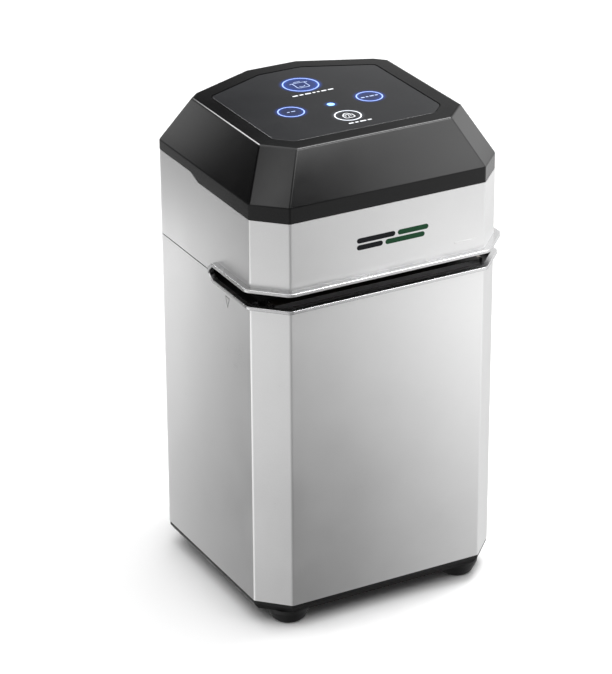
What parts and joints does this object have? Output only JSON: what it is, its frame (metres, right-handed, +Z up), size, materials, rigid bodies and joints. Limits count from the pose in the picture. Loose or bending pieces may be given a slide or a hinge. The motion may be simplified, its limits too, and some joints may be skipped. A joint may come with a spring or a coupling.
{
  "type": "vacuum packing machine",
  "caption": "Tower vacuum packing machine with a hinged head, a bag slot round the front, a motor-driven clamp jaw with lock hooks, a vacuum pump and a lit touch panel.",
  "frame": {"origin": "on the floor under the middle of the plan, lips and hinge included", "axes": "+Z up and longest, +X to the right seen from the front, front faces -Y"},
  "size_m": [0.21, 0.21, 0.3684],
  "materials": {
    "shell_metal": "fine-grain satin silver",
    "base_plastic": "fine matte",
    "foot_rubber": "matte",
    "lip_metal": "polished",
    "screw_steel": "plated",
    "plated_steel": "zinc plated",
    "deck_plastic": "fine matte",
    "foam_rubber": "closed-cell, matte",
    "silicone": "satin",
    "bar_aluminium": "satin",
    "heater_alloy": "rolled",
    "nonstick_tape": "woven, coated",
    "brass": "satin",
    "tray_plastic": "satin",
    "motor_steel": "plated",
    "cast_alloy": "as cast",
    "shaft_steel": "ground",
    "fan_plastic": "satin",
    "valve_plastic": "satin",
    "socket_plastic": "satin",
    "gearbox_metal": "sintered, dark",
    "board_laminate": "satin solder mask",
    "core_steel": "lacquered laminations",
    "lead_insulation": "satin",
    "hinge_steel": "satin",
    "cover_plastic": "satin gloss",
    "panel_glass": "dark, polished",
    "ring_blue": "lit",
    "ring_white": "lit",
    "lens_blue": "lit",
    "bearing_plastic": "satin",
    "gear_plastic": "satin",
    "gear_steel": "case hardened"
  },
  "bodies": {
    "tower": {"tower_shell": "shell_metal", "base_tray": "base_plastic", "feet": "foot_rubber", "slot_lower_trim": "lip_metal", "tower_screws": "screw_steel", "tie_posts": "plated_steel", "jaw_deck": "deck_plastic", "lower_gasket": "foam_rubber", "seal_bar": "bar_aluminium", "heating_strip": "heater_alloy", "seal_tape": "nonstick_tape", "strip_terminals": "brass", "drip_tray": "tray_plastic", "lock_strikers": "plated_steel", "pump_motor": "motor_steel", "pump_crankcase": "cast_alloy", "pump_head": "cast_alloy", "pump_base": "plated_steel", "pump_mounts": "foam_rubber", "vacuum_hose": "silicone", "release_valve": "valve_plastic", "chassis": "plated_steel", "power_board": "board_laminate", "board_standoffs": "brass", "transformer": "core_steel", "heat_sink": "bar_aluminium", "inlet_socket": "socket_plastic", "inlet_leads": "lead_insulation", "hinge_lower_leaf": "hinge_steel", "hinge_pin": "shaft_steel"},
    "pump_turning_set": {"pump_rotor": "shaft_steel", "pump_fan": "fan_plastic"},
    "release_plunger": {"valve_plunger": "shaft_steel"},
    "head": {"head_band": "shell_metal", "slot_upper_trim": "lip_metal", "top_cover": "cover_plastic", "touch_panel": "panel_glass", "light_rings_blue": "ring_blue", "light_ring_white": "ring_white", "status_lens": "lens_blue", "control_board": "board_laminate", "head_tray": "deck_plastic", "head_posts": "plated_steel", "head_screws": "screw_steel", "hinge_upper_leaf": "hinge_steel", "shaft_bearings": "bearing_plastic", "guide_posts": "shaft_steel", "motor_bracket": "plated_steel", "clamp_gearbox": "gearbox_metal", "clamp_motor": "motor_steel"},
    "clamp_jaw": {"jaw_block": "deck_plastic", "pressure_strip": "silicone", "upper_gasket": "foam_rubber", "jaw_plate": "bar_aluminium", "jaw_racks": "gear_plastic"},
    "lock_drive": {"lock_shaft": "shaft_steel", "drive_gear": "gear_plastic", "jaw_pinions": "gear_steel", "lock_hooks": "gear_steel"},
    "clamp_drive_pinion": {"motor_pinion": "gear_plastic"}
  },
  "joints": [
    {"name": "head_hinge", "type": "hinge", "parent": "tower", "child": "head", "pos_m": [0, 0.1012, 0.2606], "axis": [-1, 0, 0], "range_deg": [0, 80]},
    {"name": "clamp_slide", "type": "slide", "parent": "head", "child": "clamp_jaw", "axis": [0, 0, -1], "range_m": [0, 0.0105]},
    {"name": "lock_shaft_turn", "type": "hinge", "parent": "head", "child": "lock_drive", "pos_m": [0, -0.022, 0.3148], "axis": [-1, 0, 0], "range_deg": [0, 80.5]},
    {"name": "clamp_pinion_turn", "type": "hinge", "parent": "head", "child": "clamp_drive_pinion", "pos_m": [0.033, 0.002, 0.3148], "axis": [1, 0, 0], "range_deg": [0, 241]},
    {"name": "pump_turn", "type": "hinge", "parent": "tower", "child": "pump_turning_set", "pos_m": [0, -0.045, 0.07], "axis": [1, 0, 0], "continuous": true},
    {"name": "release_valve_slide", "type": "slide", "parent": "tower", "child": "release_plunger", "axis": [0, 0, 1], "range_m": [0, 0.003], "stiffness_N_per_m": 200, "springref_m": -0.001}
  ],
  "couplings": [
    {"joint": "lock_shaft_turn", "follows": "clamp_slide", "rad_per_m": 133.33},
    {"joint": "clamp_pinion_turn", "follows": "clamp_slide", "rad_per_m": 400}
  ]
}
